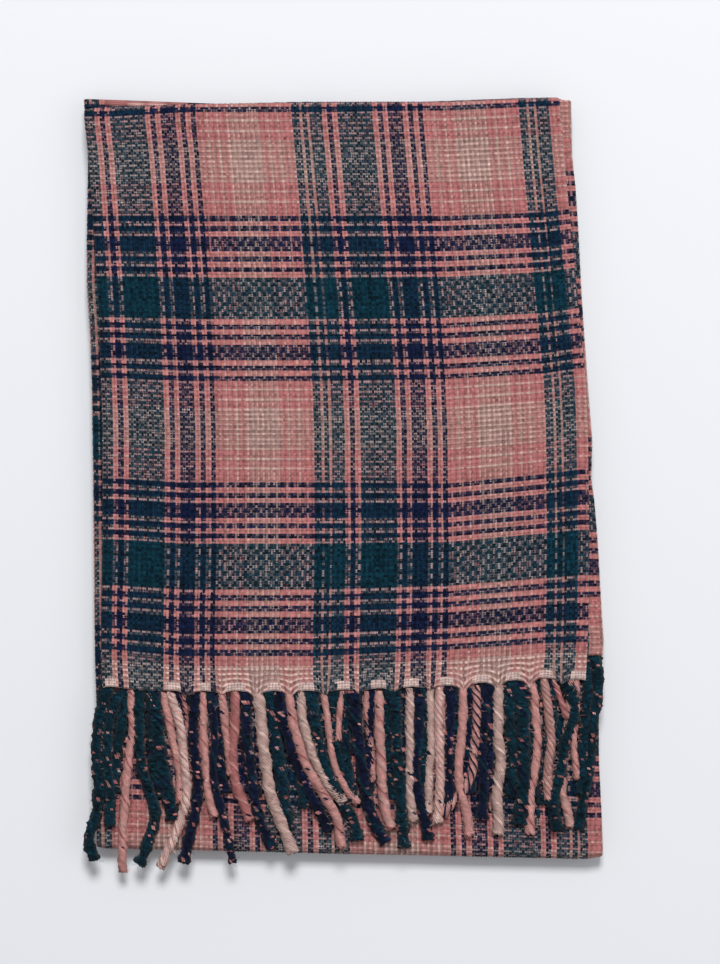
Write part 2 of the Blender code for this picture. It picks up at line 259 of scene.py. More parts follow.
# Tassels: the colours of their yarns, width against the usual one, height in the heap,
# and the route of the middle line from the hem, in millimetres
Tassel = namedtuple("Tassel", "yarns wide lift route")
TOP_TASSELS = (
    Tassel("TTTTTK", 1, 0, ((-164, -143), (-168, -161), (-170, -182), (-169, -209), (-171, -228),
        (-175, -242), (-171, -258))),
    Tassel("TTTTPT", .95, .5, ((-156, -144), (-161, -165), (-163, -189), (-161, -213), (-161, -234))),
    Tassel("BBBBRB", .9, 0, ((-147, -143), (-145, -168), (-147, -185), (-150, -206), (-152, -233),
        (-152, -267))),
    Tassel("TTTTTT", 1, .8, ((-141, -143), (-141, -165), (-139, -189), (-134, -211), (-130, -228),
        (-136, -251), (-141, -261))),
    Tassel("TTTTTN", 1.25, 0, ((-132, -143), (-128, -168), (-125, -192), (-121, -213), (-118, -230))),
    Tassel("CCBCCB", 1, 1.4, ((-119, -145), (-113, -165), (-110, -185), (-108, -206), (-110, -222),
        (-117, -243), (-126, -264))),
    Tassel("BBBRBB", .9, 0, ((-124, -145), (-119, -166), (-115, -187), (-113, -202), (-113, -218))),
    Tassel("RBRRBR", .8, -1, ((-111, -145), (-107, -168), (-104, -192), (-106, -209))),
    Tassel("NNNKNN", 1, .4, ((-103, -145), (-103, -175), (-101, -202), (-102, -222), (-105, -238),
        (-110, -260))),
    Tassel("BBBBBR", .9, 0, ((-97, -145), (-96, -172), (-95, -192), (-94, -211), (-89, -228))),
    Tassel("NNKNNT", .75, .8, ((-91, -145), (-88, -172), (-90, -199), (-84, -225), (-79, -242),
        (-76, -260))),
    Tassel("BBBRBB", .95, 0, ((-84, -144), (-82, -165), (-79, -183), (-77, -199))),
    Tassel("RRBRRR", 1, .6, ((-75, -144), (-75, -167), (-76, -187), (-74, -206), (-69, -220),
        (-65, -231))),
    Tassel("NNTNKN", .95, 0, ((-67, -144), (-66, -175), (-64, -199), (-60, -220), (-55, -237),
        (-49, -250))),
    Tassel("PPCPPP", 1.25, 1, ((-59, -144), (-56, -172), (-53, -192), (-50, -213), (-43, -233),
        (-35, -253))),
    Tassel("TTTTTT", .95, -1, ((-52, -144), (-46, -172), (-43, -196), (-41, -220), (-38, -237))),
    Tassel("NNNKNN", 1, .5, ((-45, -144), (-40, -166), (-33, -189), (-24, -211), (-16, -225), (-9, -237))),
    Tassel("BBBBRB", 1, 1.3, ((-38, -144), (-35, -163), (-30, -180), (-23, -197), (-14, -213),
        (-5, -230), (-1, -249))),
    Tassel("PCPCPP", 1, .4, ((-30, -144), (-28, -161), (-23, -178), (-17, -195), (-9, -209), (0, -219))),
    Tassel("TTTTTP", 1.05, 0, ((-22, -144), (-18, -172), (-12, -196), (-2, -216), (7, -231), (9, -244))),
    Tassel("BBB", 1, .9, ((-14, -144), (-10, -165), (-8, -182), (-5, -196), (2, -210), (10, -219))),
    Tassel("TTTPTT", 1, -.8, ((-7, -144), (-7, -165), (-4, -183), (2, -200), (6, -216))),
    Tassel("BBBR", .9, 1, ((-1, -144), (-2, -154), (-3, -165), (-4, -175))),
    Tassel("NNNNTN", 1.15, .2, ((7, -144), (10, -175), (13, -199), (18, -222), (24, -237), (29, -246))),
    Tassel("BBPBBR", 1, .8, ((24, -144), (25, -165), (26, -185), (26, -206), (29, -223), (33, -236))),
    Tassel("BBRB", .9, -.6, ((16, -144), (17, -165), (19, -184), (20, -204))),
    Tassel("TTTTPT", 1.1, .3, ((35, -143), (37, -175), (38, -202), (40, -227), (42, -249))),
    Tassel("PPPCPP", 1, .6, ((45, -142), (46, -168), (46, -189), (45, -209), (48, -231))),
    Tassel("NNTNNK", 1, 0, ((53, -141), (51, -172), (50, -196), (53, -216), (56, -230), (58, -244))),
    Tassel("PPPPPC", .95, -.4, ((60, -142), (60, -175), (59, -196), (59, -225))),
    Tassel("CBCBCB", 1, .7, ((66, -141), (66, -168), (66, -189), (66, -213), (65, -232))),
    Tassel("NNNKNN", .95, 0, ((74, -140), (73, -172), (73, -196), (73, -218))),
    Tassel("BBBBBB", .95, .9, ((82, -140), (83, -154), (81, -172), (79, -192), (81, -209), (85, -227),
        (86, -241))),
    Tassel("BNBBNB", .95, .5, ((91, -140), (92, -165), (90, -185), (88, -199), (80, -212), (67, -227))),
    Tassel("NNNNTN", 1, -.2, ((99, -139), (96, -175), (97, -202), (95, -229))),
    Tassel("PPCPPP", 1.1, .6, ((107, -138), (107, -158), (106, -172), (108, -192), (106, -213),
        (107, -227), (106, -240))),
    Tassel("TTTTTP", .95, 0, ((114, -138), (115, -165), (117, -182), (116, -202))),
    Tassel("TTTTTN", 1.35, .6, ((122, -137), (124, -175), (124, -202), (121, -233))),
    Tassel("BBRBBB", .95, .3, ((130, -136), (132, -158), (134, -178), (131, -199), (128, -216),
        (129, -240))),
    Tassel("BGBGBG", 1, .9, ((138, -135), (141, -158), (143, -178), (141, -196), (141, -216))),
    Tassel("RBRR", .9, 1.6, ((145, -135), (149, -148), (154, -160))),
    Tassel("TTTPTP", 1.05, .9, ((152, -135), (158, -146), (158, -160), (152, -178), (149, -199),
        (145, -220), (147, -237))),
    Tassel("BBBR", .95, .3, ((160, -136), (160, -158), (159, -178), (161, -202))),
)
UNDER_TASSELS = (
    Tassel("TTPTTP", 1, -.6, ((173, -117), (175, -137), (174, -151), (171, -175), (168, -199),
        (165, -220), (162, -237))),
    Tassel("TTTTTT", 1, -1, ((167, -119), (168, -141), (167, -165), (165, -189), (163, -213))),
    Tassel("BPBPBB", .95, -1, ((158, -120), (156, -150), (152, -185), (151, -210), (154, -222),
        (156, -235))),
    Tassel("TTTTNT", 1.2, -1.6, ((145, -122), (143, -160), (140, -190), (139, -219))),
    Tassel("TTTTNT", 1.1, -1.6, ((133, -122), (131, -160), (129, -190), (131, -215))),
    Tassel("TTTNTT", 1.2, -1.6, ((118, -122), (116, -160), (117, -190), (115, -214))),
    Tassel("NNTNNN", 1.1, -1.6, ((104, -122), (102, -160), (100, -190), (102, -210))),
    Tassel("NNNTNN", 1.1, -1.6, ((90, -122), (86, -160), (85, -190), (88, -212))),
    Tassel("TTNTTT", 1.1, -1.6, ((76, -122), (77, -160), (76, -190), (75, -205))),
    Tassel("BBGBBB", 1, -1.8, ((68, -122), (68, -160), (69, -190), (70, -214))),
    Tassel("TTTTTT", 1.1, -1.6, ((58, -122), (56, -160), (55, -190), (54, -208))),
    Tassel("NNNTNN", 1.1, -1.6, ((45, -122), (43, -160), (42, -190), (43, -212))),
    Tassel("TTTNTT", 1.1, -1.6, ((30, -123), (30, -160), (31, -190), (34, -218))),
    Tassel("NNNNNN", 1.1, -1.6, ((18, -123), (19, -160), (17, -190), (16, -213))),
    Tassel("TTTTTN", 1.1, -1.6, ((2, -123), (1, -160), (2, -190), (8, -219))),
    Tassel("NNTNNN", 1.1, -1.6, ((-16, -123), (-20, -160), (-14, -190), (-6, -214))),
    Tassel("TTTTTT", 1.2, -1.6, ((-30, -123), (-34, -160), (-30, -190), (-27, -222))),
    Tassel("TTTNTT", 1.2, -1.6, ((-50, -124), (-50, -160), (-45, -190), (-40, -228))),
    Tassel("NNNNNN", 1.1, -1.6, ((-66, -124), (-68, -160), (-66, -190), (-60, -215))),
    Tassel("NNNNTN", 1.1, -1.6, ((-86, -124), (-86, -160), (-86, -190), (-82, -212))),
    Tassel("RRBRRR", 1, -1.6, ((-105, -124), (-99, -160), (-99, -190), (-100, -209))),
    Tassel("NNNKNN", 1.1, -1.6, ((-112, -125), (-112, -160), (-110, -190), (-107, -214))),
    Tassel("TTTTTN", 1.2, -1.6, ((-134, -125), (-132, -160), (-130, -190), (-125, -215))),
    Tassel("TTTTTT", 1.1, -1.6, ((-148, -125), (-151, -150), (-156, -180), (-158, -212))),
    Tassel("TTTKTT", 1.1, -1.6, ((-162, -125), (-165, -160), (-166, -190), (-166, -216))),
)


class ScarfYarns(bpy.types.PropertyGroup):
    """Colours of the yarns."""

    rose: FloatVectorProperty(
        name="Rose", description="Dusty rose yarn of the squares", subtype="COLOR",
        size=3, min=0, max=1, default=(0.44, 0.158, 0.155),
    )
    pale: FloatVectorProperty(
        name="Pale", description="Pale blush yarn", subtype="COLOR",
        size=3, min=0, max=1, default=(0.58, 0.38, 0.34),
    )
    greige: FloatVectorProperty(
        name="Greige", description="Grey-brown yarn in the middle of the squares",
        subtype="COLOR", size=3, min=0, max=1, default=(0.34, 0.20, 0.175),
    )
    pink: FloatVectorProperty(
        name="Pink", description="Pink yarn of the narrow lines", subtype="COLOR",
        size=3, min=0, max=1, default=(0.52, 0.205, 0.195),
    )
    blush: FloatVectorProperty(
        name="Blush", description="Soft pink yarn of the fringe", subtype="COLOR",
        size=3, min=0, max=1, default=(0.65, 0.315, 0.29),
    )
    cream: FloatVectorProperty(
        name="Cream", description="Palest yarn, in the last picks and the fringe",
        subtype="COLOR", size=3, min=0, max=1, default=(0.78, 0.56, 0.50),
    )
    navy: FloatVectorProperty(
        name="Navy", description="Navy yarn", subtype="COLOR",
        size=3, min=0, max=1, default=(0.005, 0.010, 0.036),
    )
    teal: FloatVectorProperty(
        name="Teal", description="Dark teal yarn", subtype="COLOR",
        size=3, min=0, max=1, default=(0.003, 0.027, 0.044),
    )


class ScarfWeave(bpy.types.PropertyGroup):
    """Relief of the weave and the yarns of the fringe."""

    rise: FloatProperty(
        name="Yarn rise", description="Height of a yarn over the crossing below it",
        subtype="DISTANCE", default=0.34 * MM, min=0, max=0.001,
    )
    hole: FloatProperty(
        name="Hole depth", description="Depth of the holes between pairs of yarns",
        subtype="DISTANCE", default=0.55 * MM, min=0, max=0.002,
    )
    wander: FloatProperty(
        name="Wander", description="How far a yarn strays from its straight line",
        subtype="DISTANCE", default=0.28 * MM, min=0, max=0.001,
    )
    hairs: FloatProperty(
        name="Hairs", description="Loose fibres on each millimetre of a tassel",
        default=1.0, min=0, max=4,
    )
    twist: FloatProperty(
        name="Twist length", description="Length in which a tassel turns once",
        subtype="DISTANCE", default=27 * MM, min=0.005, max=0.05,
    )
    seed: IntProperty(
        name="Seed", description="Seed of the unevenness of the yarns", default=11, min=0,
    )


class ScarfStage(bpy.types.PropertyGroup):
    """Floor, light and camera."""

    floor: FloatVectorProperty(
        name="Floor", description="Colour of the floor", subtype="COLOR",
        size=3, min=0, max=1, default=(0.755, 0.77, 0.80),
    )
    camera_height: FloatProperty(
        name="Camera height", description="Height of the camera over the cloth",
        subtype="DISTANCE", default=1.8, min=0.5, max=5,
    )
    framed_height: FloatProperty(
        name="Framed height", description="Length of table that the frame shows",
        subtype="DISTANCE", default=0.6628, min=0.3, max=2,
    )
    key_power: FloatProperty(
        name="Key power", description="Power of the main soft light",
        subtype="POWER", default=149, min=0, max=1000,
    )
    fill: FloatProperty(
        name="Fill", description="Strength of the even light from all round",
        default=0.385, min=0, max=5,
    )


def spread(table, at, column):
    """Values of a table's column at many places along its first column."""
    return np.interp(at, [row[0] for row in table], [getattr(row, column) for row in table])


def warp_colours(ends, under):
    """The warp's letters for the given ends, counted from the lengthwise fold."""
    border = UNDER_BORDER if under else TOP_BORDER
    count = UNDER_ENDS if under else TOP_ENDS
    letters = []
    for end in ends:
        place = count - 1 - end
        if place < len(border):
            letters.append(border[max(len(border) - 1 - max(place, 0), 0)])
        else:
            chart = FOLD_END - 1 - end if under else FOLD_END + end
            letters.append(WARP_CHART[chart % len(WARP_CHART)])
    return letters


def weft_colours(picks, band):
    """The weft's letters for the given picks. The top panel ends in the hem band."""
    letters = []
    for pick in picks:
        if band and pick >= HEM_BAND_START:
            letters.append(HEM_BAND[min(pick - HEM_BAND_START, len(HEM_BAND) - 1)])
        else:
            letters.append(WEFT_CHART[pick % len(WEFT_CHART)])
    return letters


def crease_height(x, y, strength):
    """Soft troughs and ridges over the panel."""
    total = np.zeros_like(x)
    for crease in CREASES:
        dx = crease.x1 - crease.x0
        dy = crease.y1 - crease.y0
        length = math.hypot(dx, dy)
        along = ((x - crease.x0) * dx + (y - crease.y0) * dy) / length**2
        across = ((x - crease.x0) * dy - (y - crease.y0) * dx) / length
        ends = np.clip(np.sin(math.pi * np.clip(along, 0, 1)), 0, 1) ** 0.7
        total += crease.rise * ends * np.exp(-((across / crease.half) ** 2))
    slow = np.sin(x / 31 + y / 47) * np.sin(y / 39 - x / 83)
    return strength * (total + 0.25 * slow)


class Across:
    """Stations across a ply at given ends: how far each stands in from the left edge, its
    share of the flat, how far it goes past the right edge's bend, and its drop."""

    def __init__(self, ends, count, fold):
        ends = np.asarray(ends, float)
        quarter = FOLD_RADIUS * math.pi / 2
        start = quarter / PICK if fold else 0
        last = count - 1
        angle = np.clip(ends * PICK, -quarter, quarter) / FOLD_RADIUS
        under = np.clip(-ends * PICK - quarter, 0, None)
        bend = np.clip((ends - last) * math.pi / 2, 0, math.pi)
        tuck = np.clip(ends - last - 2, 0, None) * PICK
        self.share = np.clip((ends - start) / (last - start), 0, 1)
        self.extra = EDGE_RADIUS * np.sin(bend) - tuck
        self.drop = EDGE_RADIUS * (1 - np.cos(bend))
        self.radius = FOLD_RADIUS if fold else 3.0
        if fold:
            self.inset = FOLD_RADIUS * (1 - np.cos(angle)) + under
            self.drop = self.drop + FOLD_RADIUS * (1 - np.sin(angle))
        else:
            self.inset = np.full_like(ends, self.radius)


def top_row_height(x, picks):
    """Where a chart row of the top panel lies at x."""
    y = spread(TOP_ROWS, picks, "y")
    bow = np.zeros_like(x)
    keys = [row.pick for row in TOP_BOW]
    columns = [np.interp(picks, keys, [row[k + 1] for row in TOP_BOW]) for k in range(6)]
    for k in range(5):
        share = np.clip((x - BOW_X[k]) / (BOW_X[k + 1] - BOW_X[k]), 0, 1)
        inside = (x >= BOW_X[k]) & (x < BOW_X[k + 1])
        bow = np.where(inside, columns[k] * (1 - share) + columns[k + 1] * share, bow)
    bow = np.where(x < BOW_X[0], columns[0], bow)
    bow = np.where(x >= BOW_X[-1], columns[-1], bow)
    return y + bow


def under_row_height(x, picks):
    """The same on the under panel, whose rows lie straight."""
    return spread(UNDER_ROWS, picks, "y") + np.zeros_like(x)


def body_row_height(x, picks):
    """The same on the body panel, whose rows slope together."""
    slope = np.interp(x, [p.x for p in BODY_ROW_SLOPE], [p.y for p in BODY_ROW_SLOPE])
    return slope + spread(BODY_ROWS, picks, "y")


def lay_ply(ends, picks, count, sides, row_height, top, turn, fold=True, hem=None, relief=1.0):
    """Points of a ply's outer face at the crossings' corners, in millimetres. turn is the
    edge table, the sense along y, the axis height and the radius of its cross fold."""
    across = Across(ends, count, fold)
    picks = np.asarray(picks, float)
    flat_picks = picks if hem is None else np.minimum(picks, hem - 1)
    rows = np.repeat(flat_picks[:, None], len(across.share), 1)
    nominal = (sides[0].left + sides[0].right) / 2
    x = nominal + (across.share[None, :] - 0.5) * 340 + np.zeros_like(rows)
    table, sense, axis_z, radius = turn
    for _ in range(3):
        y = row_height(x, rows)
        axis = spread(table, x, "y") - sense * radius
        past = np.clip(sense * (y - axis), 0, None)
        y = y - sense * past
        left = spread(sides, y, "left")
        right = spread(sides, y, "right")
        width = right - left - across.radius - EDGE_RADIUS
        x = left + across.inset + across.share * width + across.extra
    drop = np.repeat(across.drop[None, :], len(picks), 0)
    if hem is not None:
        bend = np.clip((picks - hem + 1) * math.pi / 2, 0, math.pi)[:, None]
        tuck = np.clip(picks - hem - 1, 0, None)[:, None] * PICK
        y = y - EDGE_RADIUS * np.sin(bend) + tuck
        drop = drop + EDGE_RADIUS * (1 - np.cos(bend))
    flatness = np.clip(1 - drop / WALL, 0, 1)
    height = top - axis_z - drop + crease_height(x, y, relief) * flatness
    angle = np.clip(past / radius, 0, math.pi)
    return np.stack([
        x,
        y + sense * height * np.sin(angle),
        axis_z + height * np.cos(angle),
    ], -1)


# Depth of the holes at the corners of a crossing, as a share of the stated depth: every
# hole, and what is added where one or both of its yarns end a pair. The same shares darken
# the colour at the corners as painted shade.
HOLE_SMALL = 0.22
HOLE_SIDE = 0.28
HOLE_PAIR = 0.78
TINY = 1e-12  # keeps a division by a length off zero


def wandering(points, amount, rng):
    """Lets each yarn stray a little within the plane of the cloth."""
    rows, columns = points.shape[:2]
    along_warp = np.cumsum(rng.normal(0, 1, (rows, columns)), 0)
    along_warp -= np.linspace(0, 1, rows)[:, None] * along_warp[-1]
    along_weft = np.cumsum(rng.normal(0, 1, (rows, columns)), 1)
    along_weft -= np.linspace(0, 1, columns)[None, :] * along_weft[:, -1:]
    kernel = np.hanning(9)
    kernel /= kernel.sum()
    for field, axis in ((along_warp, 0), (along_weft, 1)):
        smooth = np.apply_along_axis(lambda line: np.convolve(line, kernel, "same"), axis, field)
        field[:] = smooth / (np.abs(smooth).max() + 1e-9)
    fade_rows = np.clip(np.minimum(np.arange(rows), np.arange(rows)[::-1]) / 4, 0, 1)[:, None]
    fade_columns = np.clip(
        np.minimum(np.arange(columns), np.arange(columns)[::-1]) / 4, 0, 1
    )[None, :]
    fade = fade_rows * fade_columns
    jitter = rng.uniform(-1, 1, (rows, columns, 2)) * 0.35
    points[..., 0] += amount * (along_warp * 2 + jitter[..., 0]) * fade
    points[..., 1] += amount * (along_weft * 2 + jitter[..., 1]) * fade
    return points


CONTRAST = 2.5  # how many times brighter a yarn is that counts as light beside another
DARK_BELOW = 0.08  # brightness under which a yarn counts as dark
FLOAT_REPEAT = 4  # crossings in which the long floats repeat
MISSED = 0.07  # share of the long floats that fall out
MIST = np.array((0.40, 0.40, 0.41))  # nap of a light yarn seen through dark hairs

# How far the yarn below shows on a float's flanks, from 0 to 1
FLANK_EVEN = 0.5
FLANK_PALE = 0.72  # a pale yarn on top is thin
FLANK_OVER_PALE = 0.3
FLANK_HIGH = 0.72  # a light float that rides high over dark yarn
FLANK_LOW = 0.94
FLANK_DARK = 0.03  # a dark float over light yarn
FLANK_DRAWN = 0.6  # the same where it is drawn thin
DRAWN = 0.12  # share of the dark floats that are drawn thin

# Share of the light floats that the nap of the dark yarn closes over, and how misty they are
CLOSED_LOW = 0.88
CLOSED_WARP_ON_TEAL = 0.3
CLOSED = 0.16
MISTY_WARP_ON_TEAL = 0.56
MISTY_ON_TEAL = 0.44
MISTY = 0.3


def long_floats(over, end_cell, pick_cell, warp_light, weft_light, rng):
    """Where light yarns cross dark ones, every second light yarn rides high in floats of
    two or three crossings, and the ones between lie low under the nap. Gives which yarn
    is on top, and the crossings whose light yarn lies low."""
    step = (end_cell[None, :] + pick_cell[:, None] + 1) % FLOAT_REPEAT
    high_pick = (pick_cell % 2 == 0)[:, None]
    high_end = (end_cell % 2 == 0)[None, :]
    missed = rng.uniform(0, 1, over.shape) < MISSED
    over = np.where(weft_light & high_pick & ~missed, step == 1, over)
    over = np.where(warp_light & high_end & ~missed, step < 2, over)
    low = (weft_light & ~high_pick) | (warp_light & ~high_end)
    return over, low


def float_colours(shown, hidden, over, bare, low, tone, table, rng):
    """Colour of the four faces of each crossing. The faces at the ends of a float keep
    its yarn's colour. On its flanks the yarn below shows, and the nap of a dark yarn
    closes over a light one."""
    brightness = table.mean(1)
    contrast = brightness[shown] / brightness[hidden]
    light = contrast > CONTRAST
    dark = contrast < 1 / CONTRAST
    pale = YARN_CODES.index("P")
    even = np.where(hidden == pale, FLANK_OVER_PALE, FLANK_EVEN)
    even = np.where(shown == pale, FLANK_PALE, even)
    drawn = np.where(rng.uniform(0, 1, shown.shape) < DRAWN, FLANK_DRAWN, FLANK_DARK)
    flank = np.where(dark, drawn, even)
    flank = np.where(light, np.where(low, FLANK_LOW, FLANK_HIGH), flank)
    flank = np.where(bare, FLANK_EVEN, flank)
    on_teal = hidden == YARN_CODES.index("T")
    closing = np.where(over & on_teal, CLOSED_WARP_ON_TEAL, CLOSED)
    closing = np.where(low, CLOSED_LOW, closing)
    closed = (rng.uniform(0, 1, shown.shape) < closing) & ~bare
    thick = rng.uniform(0.6, 0.97, shown.shape)
    thin = rng.uniform(0, 0.25, shown.shape)
    core = np.where(dark, 0.01, 0.1)
    core = np.where(light, np.where(closed, thick, thin), core)
    misty = np.where(on_teal, np.where(over, MISTY_WARP_ON_TEAL, MISTY_ON_TEAL), MISTY)
    misty = (misty * (light & ~bare))[..., None]
    top = table[shown] * (1 - misty) + MIST * misty
    faces = np.empty((*shown.shape, 4, 3))
    for face in range(4):
        at_end = over if face % 2 == 0 else ~over
        part = np.where(at_end, core, flank + rng.uniform(-0.1, 0.1, shown.shape))
        part = np.clip(part, 0, 1)[..., None]
        faces[:, :, face] = top * (1 - part) + table[hidden] * part
    tone = tone * np.where(brightness[shown] < DARK_BELOW, 2.6, 1)
    return (faces * np.clip(1 + tone[..., None, None], 0.4, 1.9)).reshape(-1, 3)


def four_corners(grid):
    """The four corners of each cell of a grid of points."""
    return grid[:-1, :-1], grid[1:, :-1], grid[:-1, 1:], grid[1:, 1:]


def with_middles(grid_u, grid_v):
    """Coordinates of a grid's corners and then of its cells' middles."""
    pairs = []
    for grid in (grid_u, grid_v):
        pairs.append(np.concatenate([grid.ravel(), (sum(four_corners(grid)) / 4).ravel()]))
    return np.stack(pairs, -1)


class Patch:
    """One grid of crossings, ready to be joined into a mesh. upper is set on the panel
    that ends in the hem band, and facing is -1 where the outer side looks down."""

    def __init__(self, points, ends, picks, scene, rng, upper=False, facing=1):
        weave = scene.scarf_weave
        ends = np.asarray(ends)
        picks = np.asarray(picks)
        points = wandering(points, weave.wander / MM, rng)
        pit, centre = self.relief(points, ends, picks, weave, rng, facing)
        self.dye(ends, picks, pit, centre, yarn_table(scene.scarf_yarns), rng, upper)
        self.join_corners(len(picks) - 1, len(ends) - 1)
        self.weave_uv = with_middles(*np.meshgrid(ends.astype(float), picks.astype(float)))
        shares = [np.linspace(0, 1, len(line)) for line in (ends, picks)]
        self.grid_uv = with_middles(*np.meshgrid(*shares))

    def relief(self, points, ends, picks, weave, rng, facing):
        """Lets the corners down into the holes and raises the middle of each crossing.
        Gives how deep each hole is, which also sets the painted shade there, and the middles."""
        normal = np.cross(np.gradient(points, axis=1), np.gradient(points, axis=0))
        normal /= np.linalg.norm(normal, axis=-1, keepdims=True) + TINY
        middle = normal[(len(picks) - 1) // 2, (len(ends) - 1) // 2]
        self.flip = middle[2] * facing < 0
        if self.flip:
            normal = -normal
        even_end = (ends % 2 == 0)[None, :]
        even_pick = (picks % 2 == 0)[:, None]
        pit = HOLE_SMALL + HOLE_SIDE * (even_end ^ even_pick) + HOLE_PAIR * (even_end & even_pick)
        pit = pit * rng.uniform(0.7, 1.25, pit.shape)
        centre = sum(four_corners(points)) / 4
        lift = weave.rise / MM * rng.uniform(0.6, 1.35, centre.shape[:2])
        centre = centre + sum(four_corners(normal)) / 4 * lift[..., None]
        corner = points - normal * (weave.hole / MM * pit)[..., None]
        self.vertices = np.concatenate([corner.reshape(-1, 3), centre.reshape(-1, 3)])
        self.vertices[:, 2] = np.maximum(self.vertices[:, 2], TABLE_CLEAR)
        return pit, centre

    def dye(self, ends, picks, pit, centre, table, rng, upper):
        """Colours the crossings by the charts."""
        end_cell = np.floor((ends[:-1] + ends[1:]) / 2).astype(int)
        pick_cell = np.floor((picks[:-1] + picks[1:]) / 2).astype(int)
        over = (end_cell[None, :] + pick_cell[:, None]) % 2 == 0
        warp = np.array([YARN_CODES.index(c) for c in warp_colours(end_cell, not upper)])
        weft = np.array([YARN_CODES.index(c) for c in weft_colours(pick_cell, upper)])
        brightness = table.mean(1)
        contrast = brightness[warp][None, :] / brightness[weft][:, None]
        over, low = long_floats(
            over, end_cell, pick_cell, contrast > CONTRAST, contrast < 1 / CONTRAST, rng
        )
        code = np.where(over, warp[None, :], weft[:, None])
        other = np.where(over, weft[:, None], warp[None, :])
        tone = (
            rng.normal(0, 0.07, len(end_cell))[None, :] * over
            + rng.normal(0, 0.07, len(pick_cell))[:, None] * ~over
            + rng.normal(0, 0.12, over.shape)
        )
        bare = np.zeros(over.shape, bool)
        if upper:
            bare = bare_picks(code, other, over, pick_cell, centre[..., 0])
            # Corners of bare crossings keep only a fifth of their painted shade.
            held = np.zeros(pit.shape, bool)
            held[:-1, :-1] |= bare
            held[1:, 1:] |= bare
            pit = np.where(held, pit * 0.2, pit)
        # Each corner's hole depth is also its painted shade. The middles get none.
        self.pit = np.concatenate([np.clip(pit, 0, 1).ravel(), np.zeros(over.size)])
        self.colours = float_colours(code, other, over, bare, low, tone, table, rng)
        self.lengthwise = np.repeat(over.ravel().astype(float), 4)

    def join_corners(self, rows, columns):
        """Four triangles round the middle of each crossing."""
        row, column = np.meshgrid(np.arange(rows), np.arange(columns), indexing="ij")
        a = (row * (columns + 1) + column).ravel()
        b = a + 1
        c = a + columns + 2
        d = a + columns + 1
        middle = (rows + 1) * (columns + 1) + np.arange(rows * columns)
        around = [(a, b), (b, c), (c, d), (d, a)]
        if self.flip:
            around = [(q, p) for p, q in around]
        triangles = [np.stack([p, q, middle], -1) for p, q in around]
        self.faces = np.stack(triangles, 1).reshape(-1, 3)


def yarn_table(yarns):
    """The yarns' colours in the order of YARN_CODES."""
    return np.array([
        tuple(yarns.rose), tuple(yarns.pale), tuple(yarns.greige),
        tuple(yarns.pink), tuple(yarns.navy), tuple(yarns.teal), tuple(yarns.blush),
        tuple(yarns.cream),
    ])


def shelf(count):
    """Columns of the unit square, one for each patch, with a margin."""
    margin = 0.004
    return [
        ((k + margin) / count, margin, (1 - 2 * margin) / count, 1 - 2 * margin)
        for k in range(count)
    ]


def add_mesh(name, vertices, faces, colours, lengthwise, pit, weave_uv, bake_uv, material):
    """A smooth mesh with the yarns' colours on its faces."""
    mesh = bpy.data.meshes.new(name)
    mesh.vertices.add(len(vertices))
    mesh.vertices.foreach_set("co", (vertices * MM).astype(np.float32).ravel())
    mesh.loops.add(faces.size)
    mesh.loops.foreach_set("vertex_index", faces.astype(np.int32).ravel())
    mesh.polygons.add(len(faces))
    mesh.polygons.foreach_set("loop_start", np.arange(0, faces.size, 3, dtype=np.int32))
    mesh.polygons.foreach_set("loop_total", np.full(len(faces), 3, np.int32))
    mesh.polygons.foreach_set("use_smooth", np.ones(len(faces), bool))
    mesh.update(calc_edges=True)
    rgba = np.concatenate([np.clip(colours, 0, 1), np.ones((len(faces), 1))], 1)
    layer = mesh.attributes.new("yarn_colour", "FLOAT_COLOR", "FACE")
    layer.data.foreach_set("color", rgba.astype(np.float32).ravel())
    layer = mesh.attributes.new("lengthwise", "FLOAT", "FACE")
    layer.data.foreach_set("value", lengthwise.astype(np.float32))
    # Painted shade in the hollows, one value for each point.
    layer = mesh.attributes.new("pit", "FLOAT", "POINT")
    layer.data.foreach_set("value", pit.astype(np.float32))
    weave = mesh.uv_layers.new(name="weave")
    weave.data.foreach_set("uv", weave_uv[faces.ravel()].astype(np.float32).ravel())
    if bake_uv is not None:
        bake = mesh.uv_layers.new(name="OFBake")
        bake.data.foreach_set("uv", bake_uv[faces.ravel()].astype(np.float32).ravel())
    mesh.validate()
    mesh.materials.append(material)
    made = bpy.data.objects.new(name, mesh)
    bpy.context.scene.collection.objects.link(made)
    return made


def join_patches(name, patches, material):
    """All patches of one piece in one mesh."""
    start = 0
    faces = []
    bake = []
    for patch, (u, v, width, height) in zip(patches, shelf(len(patches))):
        faces.append(patch.faces + start)
        start += len(patch.vertices)
        bake.append(patch.grid_uv * (width, height) + (u, v))
    colours = np.concatenate([patch.colours for patch in patches])
    return add_mesh(
        name,
        np.concatenate([patch.vertices for patch in patches]),
        np.concatenate(faces),
        colours,
        np.concatenate([patch.lengthwise for patch in patches]),
        np.concatenate([patch.pit for patch in patches]),
        np.concatenate([patch.weave_uv for patch in patches]),
        np.concatenate(bake),
        material,
    )


